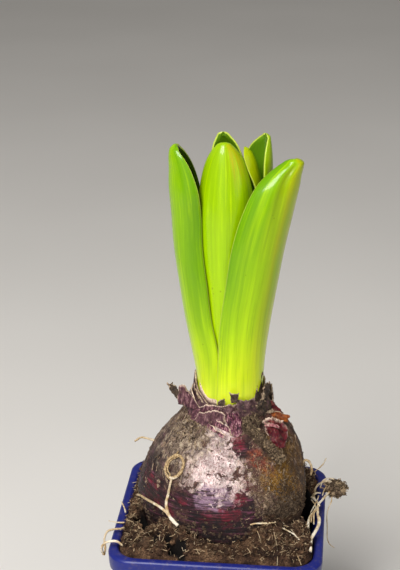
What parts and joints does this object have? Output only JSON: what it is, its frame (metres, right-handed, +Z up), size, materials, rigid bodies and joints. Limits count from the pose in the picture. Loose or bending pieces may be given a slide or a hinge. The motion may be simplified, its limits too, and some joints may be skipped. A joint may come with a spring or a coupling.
{
  "type": "potted hyacinth bulb in leaf",
  "caption": "Sprouting hyacinth bulb with upright hooded leaves round a closed flower spike, half sunk in soil in a small square pot.",
  "frame": {"origin": "middle of the pot's underside, which the pot stands on", "axes": "+Z up; -Y is the side that the picture looks at, with +X to its right; the pot's sides lie along X and Y"},
  "size_m": [0.083, 0.072, 0.2028],
  "materials": {
    "pot_plastic": "cobalt blue injection-moulded plastic, softly glossy, lightly scuffed at the rim",
    "potting_soil": "dark brown crumbly peat with pale fibres",
    "bulb_skin": "dry papery skin, pinkish silver over purple, speckled with grey-brown dirt",
    "leaf_blade": "fleshy bright yellow-green leaf, waxy gloss, paler at the base",
    "flower_bud": "closed green buds, matt waxy",
    "tunic_purple": "dry papery scale, dull purple with pale torn edges",
    "tunic_red": "dry papery scale, translucent crimson to orange",
    "dry_root": "cream to tan dried root"
  },
  "bodies": {
    "root": {"pot": "pot_plastic", "soil": "potting_soil", "bulb": "bulb_skin", "leaf_left": "leaf_blade", "leaf_right": "leaf_blade", "leaf_back_right": "leaf_blade", "leaf_front": "leaf_blade", "leaf_inner_right": "leaf_blade", "leaf_back": "leaf_blade", "flower_spike": "flower_bud", "tunic_collar": "tunic_purple", "tunic_scale_red": "tunic_red", "dirt_strip": "potting_soil", "root_loop": "dry_root", "root_hook": "dry_root", "root_thread_left": "dry_root", "root_tuft_right": "dry_root", "root_curl_left": "dry_root", "root_front": "dry_root", "root_front_right": "dry_root", "clod_right": "potting_soil"}
  },
  "joints": []
}
